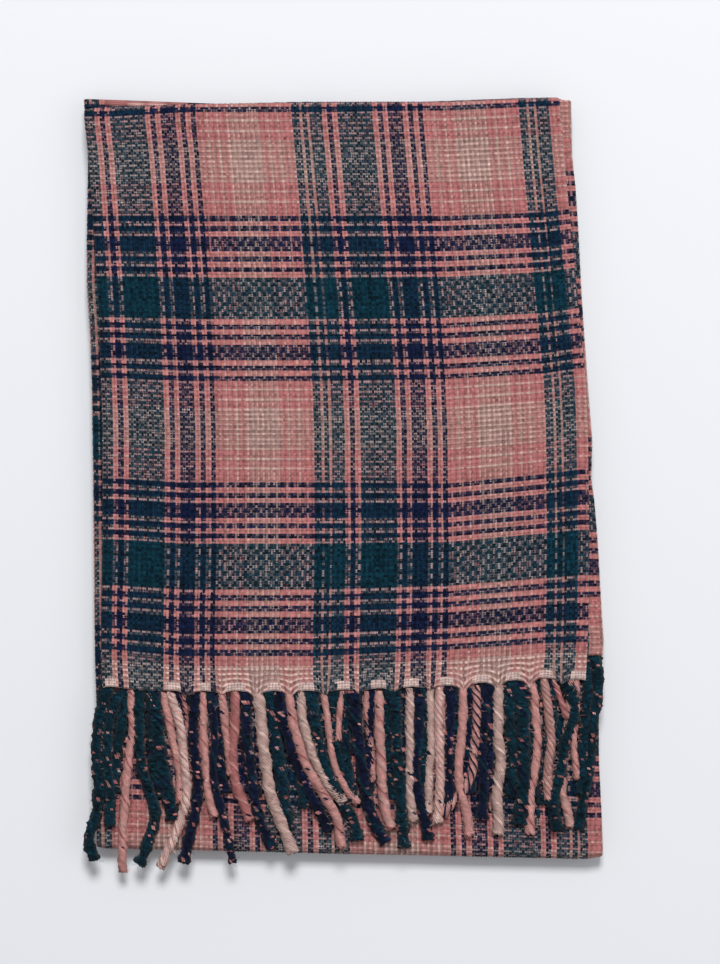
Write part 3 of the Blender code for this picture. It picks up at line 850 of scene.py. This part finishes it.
def wool_material(name, hollow_shade_strength, fuzz, streak):
    """Matte spun wool: the face's own yarn colour, uneven dye, painted shade in the holes and
    grooves, and a soft nap.
    """
    made = bpy.data.materials.get(name)
    if made:
        return made
    made = bpy.data.materials.new(name)
    made.use_nodes = True
    tree = made.node_tree
    shader = tree.nodes["Principled BSDF"]
    shader.inputs["Roughness"].default_value = 0.92
    shader.inputs["Specular IOR Level"].default_value = 0.05
    shader.inputs["Sheen Weight"].default_value = fuzz
    shader.inputs["Sheen Roughness"].default_value = 0.55
    shader.inputs["Sheen Tint"].default_value = (1, 0.93, 0.88, 1)

    def node(kind, **values):
        found = tree.nodes.new(kind)
        for key, value in values.items():
            setattr(found, key, value)
        return found

    def attribute(label):
        return node("ShaderNodeAttribute", attribute_name=label)

    colour = attribute("yarn_colour")
    lengthwise = attribute("lengthwise")
    pit = attribute("pit")
    place = node("ShaderNodeUVMap", uv_map="weave")

    def fibre_noise(scale, detail):
        """Noise drawn out along the yarn that shows: one for each way of the weave."""
        results = []
        for stretch in (scale, scale[::-1]):
            mapping = node("ShaderNodeMapping")
            mapping.inputs["Scale"].default_value = (*stretch, 1)
            tree.links.new(place.outputs["UV"], mapping.inputs["Vector"])
            noise = node("ShaderNodeTexNoise")
            noise.inputs["Scale"].default_value = 1
            noise.inputs["Detail"].default_value = detail
            noise.inputs["Roughness"].default_value = 0.65
            tree.links.new(mapping.outputs["Vector"], noise.inputs["Vector"])
            results.append(noise)
        mix = node("ShaderNodeMix", data_type="FLOAT")
        tree.links.new(lengthwise.outputs["Fac"], mix.inputs["Factor"])
        tree.links.new(results[1].outputs["Fac"], mix.inputs[2])
        tree.links.new(results[0].outputs["Fac"], mix.inputs[3])
        return mix

    fibres = fibre_noise((9, 2.2), 4)
    dye = fibre_noise((1.1, 0.16), 2)

    def ranged(source, low, high):
        found = node("ShaderNodeMapRange")
        found.inputs["From Min"].default_value = 0.25
        found.inputs["From Max"].default_value = 0.75
        found.inputs["To Min"].default_value = low
        found.inputs["To Max"].default_value = high
        tree.links.new(source, found.inputs["Value"])
        return found.outputs["Result"]

    def product(first, second):
        found = node("ShaderNodeMath", operation="MULTIPLY")
        tree.links.new(first, found.inputs[0])
        tree.links.new(second, found.inputs[1])
        return found.outputs["Value"]

    shade = product(
        ranged(fibres.outputs[0], 1 - streak, 1 + streak),
        ranged(dye.outputs[0], 0.86, 1.14),
    )
    # Painted shade: the colour darkens where the point value marks a hole or groove.
    hollow_shade = node("ShaderNodeMapRange")
    hollow_shade.inputs["To Min"].default_value = 1
    hollow_shade.inputs["To Max"].default_value = 1 - hollow_shade_strength
    tree.links.new(pit.outputs["Fac"], hollow_shade.inputs["Value"])
    shade = product(shade, hollow_shade.outputs["Result"])
    tint = node("ShaderNodeVectorMath", operation="SCALE")
    tree.links.new(colour.outputs["Color"], tint.inputs[0])
    tree.links.new(shade, tint.inputs["Scale"])
    tree.links.new(tint.outputs["Vector"], shader.inputs["Base Color"])

    bump = node("ShaderNodeBump")
    bump.inputs["Strength"].default_value = 0.7
    bump.inputs["Distance"].default_value = 0.25 * MM
    tree.links.new(fibres.outputs[0], bump.inputs["Height"])
    tree.links.new(bump.outputs["Normal"], shader.inputs["Normal"])
    return made


def cloth_material():
    return wool_material("woven_wool", 0.6, 0.05, 0.22)


def fringe_material():
    return wool_material("twisted_wool", 0.62, 0.08, 0.3)


def scalloped(points, picks):
    """Draws the last ends together where the fringe leaves the hem and lets them down."""
    near = np.clip((np.asarray(picks, float) - FUNNEL_PICK) / (HEM_PICK - FUNNEL_PICK), 0, 1)
    near = near[:, None] ** 1.7
    x = points[..., 0].copy()
    shift = np.zeros_like(x)
    drop = np.zeros_like(x)
    for funnel in FUNNELS:
        away = x - funnel.x
        shift -= away * funnel.draw * np.exp(-((away / funnel.reach) ** 2))
        drop += funnel.drop * np.exp(-((away / (funnel.reach * 0.62)) ** 2))
    for arch in ARCHES:
        drop -= 0.9 * np.exp(-(((x - arch.x) / arch.half) ** 2))
    points[..., 0] += near * shift
    points[..., 1] -= near * drop
    points[..., 2] -= near * 0.25 * np.clip(drop, 0, None)
    return points


def bare_picks(code, other, over, pick_cell, places):
    """In the arches the ends have left for the funnels, so the last picks lie bare, and navy
    on their flanks paints the shade in the gaps between them.
    """
    late = (pick_cell >= HEM_PICK - ARCH_PICKS)[:, None]
    under_arch = np.zeros(places.shape, bool)
    for arch in ARCHES:
        under_arch |= np.abs(places - arch.x) < arch.half
    bare = late & under_arch
    code[bare] = YARN_CODES.index("C")
    # Navy under the cream picks is painted shade in the gaps between them, together with the dark yarns
    # lying below.
    other[bare] = YARN_CODES.index("N")
    over[bare] = False
    return bare


def smooth_route(route, step):
    """Evenly spaced points on a smooth curve through the given ones."""
    knots = np.array(route, float)
    knots = np.vstack([2 * knots[0] - knots[1], knots, 2 * knots[-1] - knots[-2]])
    fine = []
    for k in range(1, len(knots) - 2):
        p0, p1, p2, p3 = knots[k - 1:k + 3]
        for t in np.linspace(0, 1, 24, endpoint=False):
            fine.append(0.5 * (
                2 * p1 + (p2 - p0) * t + (2 * p0 - 5 * p1 + 4 * p2 - p3) * t**2
                + (3 * p1 - p0 - 3 * p2 + p3) * t**3
            ))
    fine.append(knots[-2])
    fine = np.array(fine)
    gone = np.concatenate([[0], np.cumsum(np.linalg.norm(np.diff(fine, axis=0), axis=1))])
    stations = np.linspace(0, gone[-1], max(int(gone[-1] / step), 4))
    return np.stack([np.interp(stations, gone, fine[:, k]) for k in range(2)], -1), stations


def closed_tube(steps, around):
    """Triangles of a tube of rings with a point at its far end and one at its root."""
    row, place = np.meshgrid(np.arange(steps - 1), np.arange(around), indexing="ij")
    a = (row * around + place).ravel()
    b = (row * around + (place + 1) % around).ravel()
    c = a + around
    d = b + around
    first = np.arange(around)
    last = (steps - 1) * around + first
    tip = np.full(around, steps * around)
    return np.concatenate([
        np.stack([a, b, c], -1),
        np.stack([b, d, c], -1),
        np.stack([last, np.roll(last, -1), tip], -1),
        np.stack([np.roll(first, -1), first, tip + 1], -1),
    ])


class YarnHeap:
    """Collects loose yarns until they are joined into one mesh."""

    def __init__(self):
        self.vertices, self.faces, self.codes, self.tones = [], [], [], []
        self.uvs, self.painted_shades = [], []
        self.count = 0

    def add(self, points, faces, codes, tones, uv, painted_shades):
        """One closed tube. uv is given for its rings, and its two ends take what is next
        to them."""
        self.vertices.append(points)
        self.faces.append(faces + self.count)
        self.codes.append(codes)
        self.tones.append(tones)
        self.uvs.append(np.vstack([uv, uv[-1], uv[0]]))
        self.painted_shades.append(painted_shades)
        self.count += len(points)

    def hair(self, centre, code, tone):
        """A short fibre along a line of points."""
        steps = len(centre)
        tangent = np.gradient(centre, axis=0)
        tangent /= np.linalg.norm(tangent, axis=1, keepdims=True) + TINY
        side = np.cross(tangent, np.tile((0.0, 0.0, 1.0), (steps, 1)))
        side /= np.linalg.norm(side, axis=1, keepdims=True) + TINY
        up = np.cross(side, tangent)
        angle = np.arange(HAIR_SIDES) * 2 * math.pi / HAIR_SIDES
        ring = (
            side[:, None, :] * np.cos(angle)[None, :, None]
            + up[:, None, :] * np.sin(angle)[None, :, None]
        )
        points = (centre[:, None, :] + ring * HAIR_RADIUS).reshape(-1, 3)
        tip = centre[-1] + tangent[-1] * HAIR_RADIUS * 0.6
        faces = closed_tube(steps, HAIR_SIDES)
        gone = np.concatenate([
            [0], np.cumsum(np.linalg.norm(np.diff(centre, axis=0), axis=1))
        ])
        around = np.tile(np.abs(angle / math.pi - 1) * 2, steps)
        uv = np.stack([
            around + gone.repeat(HAIR_SIDES) * 0.5, np.repeat(gone / PICK, HAIR_SIDES)
        ], -1)
        self.add(
            np.vstack([points, tip, centre[0]]), faces, np.full(len(faces), code),
            np.full(len(faces), tone), uv, np.zeros(len(points) + 2),
        )

    def cord(self, rings, codes, tones, groove, gone):
        """A closed cord through rings of points, with a colour for each of its faces."""
        steps, around = rings.shape[:2]
        ends = np.stack([rings[-1].mean(0), rings[0].mean(0)])
        codes, tones = (
            np.concatenate([rows.ravel(), rows.ravel(), rows[-1], rows[0]])
            for rows in (np.roll(codes, -1, 1), np.roll(tones, -1, 1))
        )
        across = np.abs(np.arange(around) / around - 0.5) * 2 * around / 3
        uv = np.stack([
            np.tile(across, steps) + np.repeat(gone * 0.4, around),
            np.repeat(gone / PICK, around),
        ], -1)
        # Painted shade in the grooves between strands, and full painted shade at the tip and root points.
        self.add(
            np.vstack([rings.reshape(-1, 3), ends]), closed_tube(steps, around),
            codes, tones, uv, np.concatenate([np.tile(groove * GROOVE_SHADE, steps), [1, 1]]),
        )

    def mesh(self, name, yarns, material):
        """Joins the yarns into one object."""
        faces = np.concatenate(self.faces)
        tones = np.concatenate(self.tones)
        colours = yarn_table(yarns)[np.concatenate(self.codes)] * (1 + tones[:, None])
        return add_mesh(
            name, np.concatenate(self.vertices), faces, colours,
            np.ones(len(faces)), np.concatenate(self.painted_shades),
            np.concatenate(self.uvs), None, material,
        )


def eased(value):
    """0 to 1 with a soft start and end."""
    value = np.clip(value, 0, 1)
    return value * value * (3 - 2 * value)


TASSEL_REST = 5 * PLY_RISE + WALL + 2.4  # height of a tassel's middle on the body panel
STEP = 1.3  # distance between the rings of a cord
DARK_YARNS = "NT"
STRANDS = 12
CORD_HALF = 3.35
SLIM = 0.72  # width of a cord with fewer than six yarns
ROOT_COVER = 2.6  # how far a tassel starts under the cloth
LET_DOWN = 13  # length in which a cord comes down from the hem
EDGE_Y = -250  # past this line the cords hang over the stack's edge
HANG = 0.02
GROOVE = 0.70  # reach of the grooves between strands, as a share of the cord's
GROOVE_SHADE = 0.85  # painted shade in the grooves between strands
FLAT_HALF = 1.1  # half height of the flat yarns at the hem
ROUND = 0.8  # height of a cord as a share of its width
TAIL = 7  # length of the loosened end
HAIR_SIDES = 3
HAIR_RADIUS = 0.11

# The two kinds of cord, dark and light: width, the length in which the yarns gather and
# their spread at the hem, how uneven it is along and round, the length of its twist, and
# the letters and share of its flecks
Kind = namedtuple("Kind", "wide gather spread swell rough twist flecks flecked")
DARK_KIND = Kind(1.12, 24, 1.5, 0.1, 0.1, 1.7, "BKRRG", 0.03)
LIGHT_KIND = Kind(1, 9, 0.85, 0.06, 0.04, 1, "NPC", 0.012)


def strand_letters(letters, steps, kind, rng):
    """The yarn of each strand at each step, with short flecks of another yarn."""
    names = []
    for strand in range(STRANDS):
        name = letters[strand % len(letters)]
        odd_rose = name == "R" and strand >= len(letters)
        odd_light = kind is DARK_KIND and name not in DARK_YARNS
        names.append(letters[0] if odd_rose or odd_light else name)
    codes = np.tile([YARN_CODES.index(name) for name in names], (steps, 1))
    starts = rng.uniform(0, 1, codes.shape) < kind.flecked
    for step, strand in zip(*np.nonzero(starts)):
        length = rng.integers(1, 3)
        letter = kind.flecks[rng.integers(0, len(kind.flecks))]
        codes[step:step + length, strand] = YARN_CODES.index(letter)
    return codes


def waves(gone, short, long, rng):
    """A wave along a cord whose length lies between two bounds."""
    return np.sin(gone / rng.uniform(short, long) + rng.uniform(0, 6))


def add_tassel(heap, tassel, hem_z, weave, rng):
    """A cord of loose warp yarns: it leaves the hem flat, then gathers and twists."""
    root = (tassel.route[0][0], tassel.route[0][1] + ROOT_COVER)
    line, gone = smooth_route((root, *tassel.route), STEP)
    kind = DARK_KIND if tassel.yarns[0] in DARK_YARNS else LIGHT_KIND
    slim = SLIM if len(tassel.yarns) < 6 else 1
    half = CORD_HALF * tassel.wide * slim * kind.wide
    tangent = np.gradient(line, axis=0)
    tangent /= np.linalg.norm(tangent, axis=1, keepdims=True)
    side = np.stack([tangent[:, 1], -tangent[:, 0]], -1)
    gather = eased(gone / kind.gather)
    middle_z = hem_z + (TASSEL_REST + tassel.lift - hem_z) * eased(gone / LET_DOWN)
    middle_z = middle_z - HANG * np.clip(EDGE_Y - line[:, 1], 0, None) ** 2
    sway = 0.5 * waves(gone, 9, 14, rng) * gather
    loosen = 1 + 0.16 * eased((gone - gone[-1] + TAIL) / TAIL)
    uneven = 1 + kind.swell * waves(gone, 2.2, 4.0, rng)
    uneven += kind.swell * 0.6 * waves(gone, 0.9, 1.5, rng)
    wide = (half * kind.spread * (1 - gather) + half * gather) * loosen * uneven
    tall = (FLAT_HALF * (1 - gather) + half * ROUND * gather) * uneven
    pitch = weave.twist / MM * kind.twist * rng.uniform(0.9, 1.1)
    turn = rng.uniform(0, 6) + 2 * math.pi * gone / pitch * (0.25 + 0.75 * gather)
    angle = np.arange(2 * STRANDS) * math.pi / STRANDS + turn[:, None]
    groove = np.arange(2 * STRANDS) % 2 == 0
    reach = np.where(groove, GROOVE, 1.0) * (1 + rng.normal(0, 0.07, 2 * STRANDS))
    reach = reach * (1 + rng.normal(0, kind.rough, angle.shape))
    ragged = np.zeros(angle.shape)
    ragged[-1] = rng.uniform(-1.2, 1.2, 2 * STRANDS)
    ragged[-2] = ragged[-1] * 0.5
    off_side = wide[:, None] * reach * np.cos(angle) + sway[:, None]
    off_up = tall[:, None] * reach * np.sin(angle)
    rings = np.stack([
        line[:, :1] + side[:, :1] * off_side + tangent[:, :1] * ragged,
        line[:, 1:] + side[:, 1:] * off_side + tangent[:, 1:] * ragged,
        middle_z[:, None] + off_up,
    ], -1)
    steps = len(line) - 1
    letters = strand_letters(tassel.yarns, steps, kind, rng)
    tone = rng.normal(0, 0.12, (1, STRANDS)) + rng.normal(0, 0.12, (steps, STRANDS))
    if kind is DARK_KIND:
        glints = rng.uniform(0, 1, tone.shape) < 0.06
        tone += 1.1 * glints + rng.normal(-0.2, 0.24, tone.shape)
    heap.cord(rings, np.repeat(letters, 2, 1), np.repeat(tone, 2, 1), groove, gone)


def add_hairs(heap, tassel, weave, rng):
    """Short fibres that stand off a tassel."""
    line, gone = smooth_route(tassel.route, STEP)
    rest = TASSEL_REST + tassel.lift
    for _ in range(int(gone[-1] * weave.hairs)):
        k = rng.integers(6, len(line) - 1)
        start = np.array([*line[k], rest + rng.uniform(-1, 2)])
        away = rng.uniform(0, 2 * math.pi)
        start[:2] += 3.0 * np.array([math.cos(away), math.sin(away)])
        reach = rng.uniform(1.5, 4.0)
        heading = away + rng.normal(0, 0.7)
        curl = rng.normal(0, 0.9)
        along = np.linspace(0, 1, 4)
        bend = heading + curl * along
        path = np.stack([
            start[0] + reach * along * np.cos(bend),
            start[1] + reach * along * np.sin(bend),
            start[2] + along * rng.uniform(-0.8, 1.0),
        ], -1)
        letter = tassel.yarns[rng.integers(0, len(tassel.yarns))]
        heap.hair(path, YARN_CODES.index(letter), rng.normal(0.25, 0.1))


def cloth_piece(name, nodes):
    """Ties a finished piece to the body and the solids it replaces."""
    made = bpy.data.objects[name]
    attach(made, "root")
    if nodes:
        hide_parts(*nodes)
    return made


FIRST_AXIS = 6 * PLY_RISE - GAP / 2
SECOND_AXIS = 4 * PLY_RISE - GAP / 2
THIRD_AXIS = 2 * PLY_RISE - GAP / 2
TUCK = 3
NO_ROLL = 0.001  # radius for an edge that stays flat
UNDERSIDE = 0.4  # height of the face that lies on the table


class SCARF_OT_upper_panel(bpy.types.Operator):
    """Weave the upper half of the end panel, with its folds"""

    bl_idname = "scarf.upper_panel"
    bl_label = "Upper Panel"

    def execute(self, context):
        weave = context.scene.scarf_weave
        rng = np.random.default_rng(weave.seed)
        ends = np.arange(-6, TOP_ENDS + TUCK)
        picks = np.arange(-10, HEM_PICK + TUCK + 1)
        points = lay_ply(
            ends, picks, TOP_ENDS, TOP_SIDES, top_row_height, 7 * PLY_RISE + WALL,
            (FIRST_TURN, 1, FIRST_AXIS, TURN_RADIUS), hem=HEM_PICK,
        )
        points = scalloped(points, picks)
        patch = Patch(points, ends, picks, context.scene, rng, upper=True)
        join_patches("upper_cloth", [patch], cloth_material())
        cloth_piece("upper_cloth", ["end_panel_upper"])
        return {"FINISHED"}


class SCARF_OT_under_panel(bpy.types.Operator):
    """Weave the lower half of the end panel, which shows along the right edge"""

    bl_idname = "scarf.under_panel"
    bl_label = "Under Panel"

    def execute(self, context):
        weave = context.scene.scarf_weave
        rng = np.random.default_rng(weave.seed + 1)
        ends = np.concatenate([np.arange(0, 168, 6), np.arange(168, UNDER_ENDS + TUCK)])
        picks = np.arange(6, UNDER_HEM_PICK + TUCK + 1)
        points = lay_ply(
            ends, picks, UNDER_ENDS, UNDER_SIDES, under_row_height, 6 * PLY_RISE + WALL,
            (FIRST_TURN, 1, FIRST_AXIS, FOLD_RADIUS), fold=False, hem=UNDER_HEM_PICK,
            relief=0.2,
        )
        patch = Patch(points, ends, picks, context.scene, rng)
        join_patches("under_cloth", [patch], cloth_material())
        cloth_piece("under_cloth", ["end_panel_under"])
        return {"FINISHED"}


class SCARF_OT_body_panel(bpy.types.Operator):
    """Weave the next panel, which shows under the fringe and at the left edge"""

    bl_idname = "scarf.body_panel"
    bl_label = "Body Panel"

    def execute(self, context):
        weave = context.scene.scarf_weave
        rng = np.random.default_rng(weave.seed + 2)
        turn = (SECOND_TURN, -1, SECOND_AXIS, TURN_RADIUS)
        patches = []
        fine = np.arange(-6, UNDER_ENDS + TUCK)
        coarse = np.concatenate([
            np.arange(-6, 10), np.arange(10, 186, 8), np.arange(186, UNDER_ENDS + TUCK)
        ])
        for ends, picks in ((fine, np.arange(12, 105)), (coarse, np.arange(104, 313))):
            points = lay_ply(
                ends, picks, UNDER_ENDS, BODY_SIDES, body_row_height,
                5 * PLY_RISE + WALL, turn, relief=0.25,
            )
            patches.append(Patch(points, ends, picks, context.scene, rng))
        join_patches("body_cloth", patches, cloth_material())
        cloth_piece("body_cloth", ["body_panel"])
        return {"FINISHED"}


class SCARF_OT_inner_folds(bpy.types.Operator):
    """Weave the folds inside: their rolls, their cut edges and the underside"""

    bl_idname = "scarf.inner_folds"
    bl_label = "Inner Folds"

    def execute(self, context):
        weave = context.scene.scarf_weave
        rng = np.random.default_rng(weave.seed + 3)
        top_turn = (FIRST_TURN, 1, THIRD_AXIS, TURN_RADIUS)
        flat = (SECOND_TURN, -1, SECOND_AXIS, NO_ROLL)
        coarse = np.concatenate([
            np.arange(-6, 4), np.arange(4, 188, 8), np.arange(188, UNDER_ENDS + TUCK)
        ])
        lip = np.arange(UNDER_ENDS - 8, UNDER_ENDS + TUCK)
        patches = []

        def weave_patch(ends, picks, top, turn, sides, fold=True, facing=1):
            points = lay_ply(
                ends, picks, UNDER_ENDS, sides, body_row_height, top, turn,
                fold=fold, relief=0.0,
            )
            patches.append(Patch(points, ends, picks, context.scene, rng, facing=facing))

        def pulled_in(amount):
            return tuple(Sides(s.y, s.left + amount * 0.4, s.right - amount) for s in BODY_SIDES)

        body_picks = np.arange(26, 316)
        weave_patch(coarse, np.arange(27, 326), 3 * PLY_RISE + WALL, top_turn, pulled_in(0.5))
        weave_patch(coarse, np.arange(30, 312), PLY_RISE + WALL, flat, pulled_in(1.3))
        for ply, inset in ((4, 0.9), (2, 1.4), (0, 2.2)):
            weave_patch(
                lip, body_picks, ply * PLY_RISE + WALL, flat, pulled_in(inset), fold=False
            )
        weave_patch(
            np.arange(3, UNDER_ENDS - 1, 3), np.arange(34, 308, 3), UNDERSIDE, flat,
            pulled_in(2.5), fold=False, facing=-1,
        )
        join_patches("inner_cloth", patches, cloth_material())
        cloth_piece("inner_cloth", ["inner_folds"])
        return {"FINISHED"}


FRINGE_GROUPS = (
    ("fringe_pink_yarns", "BR", "pink_wool"),
    ("fringe_pale_yarns", "PC", "greige_wool"),
    ("fringe_teal_yarns", "T", "teal_wool"),
    ("fringe_navy_yarns", "N", "navy_wool"),
)


class SCARF_OT_fringe(bpy.types.Operator):
    """Twist the tassels of both hems out of loose yarns"""

    bl_idname = "scarf.fringe"
    bl_label = "Fringe"

    def execute(self, context):
        weave = context.scene.scarf_weave
        yarns = context.scene.scarf_yarns
        rng = np.random.default_rng(weave.seed + 4)
        heaps = {name: YarnHeap() for name, _, _ in FRINGE_GROUPS}
        hairs = YarnHeap()
        for tassel in TOP_TASSELS:
            for name, letters, _ in FRINGE_GROUPS:
                if tassel.yarns[0] in letters:
                    add_tassel(heaps[name], tassel, 7 * PLY_RISE - 0.3, weave, rng)
            add_hairs(hairs, tassel, weave, rng)
        under = YarnHeap()
        for tassel in UNDER_TASSELS:
            add_tassel(under, tassel, 6 * PLY_RISE - 0.2, weave, rng)
        for name, _, slot in FRINGE_GROUPS:
            heaps[name].mesh(name, yarns, fringe_material())
            nodes = ["fringe_end"] if name == FRINGE_GROUPS[0][0] else []
            cloth_piece(name, nodes)
        under.mesh("fringe_under_yarns", yarns, fringe_material())
        cloth_piece("fringe_under_yarns", ["fringe_under"])
        hairs.mesh("fringe_hairs", yarns, fringe_material())
        cloth_piece("fringe_hairs", [])
        return {"FINISHED"}


class SCARF_OT_declare(bpy.types.Operator):
    """An empty step: it states nothing and changes nothing"""

    bl_idname = "scarf.declare"
    bl_label = "State the Cut"

    def execute(self, context):
        return {"FINISHED"}


class SCARF_OT_stage(bpy.types.Operator):
    """Set the pale floor, the soft light and the camera"""

    bl_idname = "scarf.stage"
    bl_label = "Stage"

    def execute(self, context):
        stage = context.scene.scarf_stage
        scene = context.scene
        scene.view_settings.view_transform = "Standard"
        low, high = (Vector(corner) for corner in CAD_BOX)
        half = 6.0
        floor = bpy.data.meshes.new("floor")
        floor.from_pydata(
            [(-half, -half, 0), (half, -half, 0), (half, half, 0), (-half, half, 0)],
            [], [(0, 1, 2, 3)],
        )
        paper = bpy.data.materials.new("pale_floor")
        paper.use_nodes = True
        shader = paper.node_tree.nodes["Principled BSDF"]
        shader.inputs["Base Color"].default_value = (*stage.floor, 1)
        shader.inputs["Roughness"].default_value = 0.9
        shader.inputs["Specular IOR Level"].default_value = 0.1
        floor.materials.append(paper)
        ground = bpy.data.objects.new("floor", floor)
        ground.location.z = low.z - 0.0005
        scene.collection.objects.link(ground)

        target = Vector((0, 0, 0))
        for name, place, size, power in (
            ("key_light", (0.12, 2.45, 3.4), 1.2, stage.key_power),
            ("side_light", (1.6, -0.3, 1.6), 1.6, stage.key_power * 0.04),
        ):
            lamp = bpy.data.lights.new(name, "AREA")
            lamp.shape = "SQUARE"
            lamp.size = size
            lamp.energy = power
            made = bpy.data.objects.new(name, lamp)
            made.location = place
            made.rotation_euler = (target - Vector(place)).to_track_quat("-Z", "Y").to_euler()
            scene.collection.objects.link(made)
        world = bpy.data.worlds.new("soft_room")
        world.use_nodes = True
        back = world.node_tree.nodes["Background"]
        back.inputs["Color"].default_value = (0.97, 0.98, 1, 1)
        back.inputs["Strength"].default_value = stage.fill
        scene.world = world

        lens = bpy.data.cameras.new("camera")
        lens.lens = lens.sensor_width * stage.camera_height / stage.framed_height
        lens.clip_end = 20
        camera = bpy.data.objects.new("camera", lens)
        camera.location = (0.0113, 0.0024, high.z + stage.camera_height)
        scene.collection.objects.link(camera)
        scene.camera = camera
        return {"FINISHED"}


class SCARF_PT_panel(bpy.types.Panel):
    """Steps that build the scarf, in order"""

    bl_idname = "SCARF_PT_panel"
    bl_label = "Blanket Scarf"
    bl_space_type = "VIEW_3D"
    bl_region_type = "UI"
    bl_category = "Scarf"

    def draw(self, context):
        for step in STEPS:
            self.layout.operator(step.bl_idname)


STEPS = (
    SCARF_OT_upper_panel,
    SCARF_OT_under_panel,
    SCARF_OT_body_panel,
    SCARF_OT_inner_folds,
    SCARF_OT_fringe,
    SCARF_OT_declare,
    SCARF_OT_stage,
)
CLASSES = (ScarfYarns, ScarfWeave, ScarfStage, *STEPS, SCARF_PT_panel)


def register():
    for kind in CLASSES:
        bpy.utils.register_class(kind)
    bpy.types.Scene.scarf_yarns = PointerProperty(type=ScarfYarns)
    bpy.types.Scene.scarf_weave = PointerProperty(type=ScarfWeave)
    bpy.types.Scene.scarf_stage = PointerProperty(type=ScarfStage)


def unregister():
    for label in ("scarf_stage", "scarf_weave", "scarf_yarns"):
        delattr(bpy.types.Scene, label)
    for kind in reversed(CLASSES):
        bpy.utils.unregister_class(kind)


def main():
    register()
    for step in STEPS:
        area, label = step.bl_idname.split(".")
        getattr(getattr(bpy.ops, area), label)()


if __name__ == "__main__":
    main()
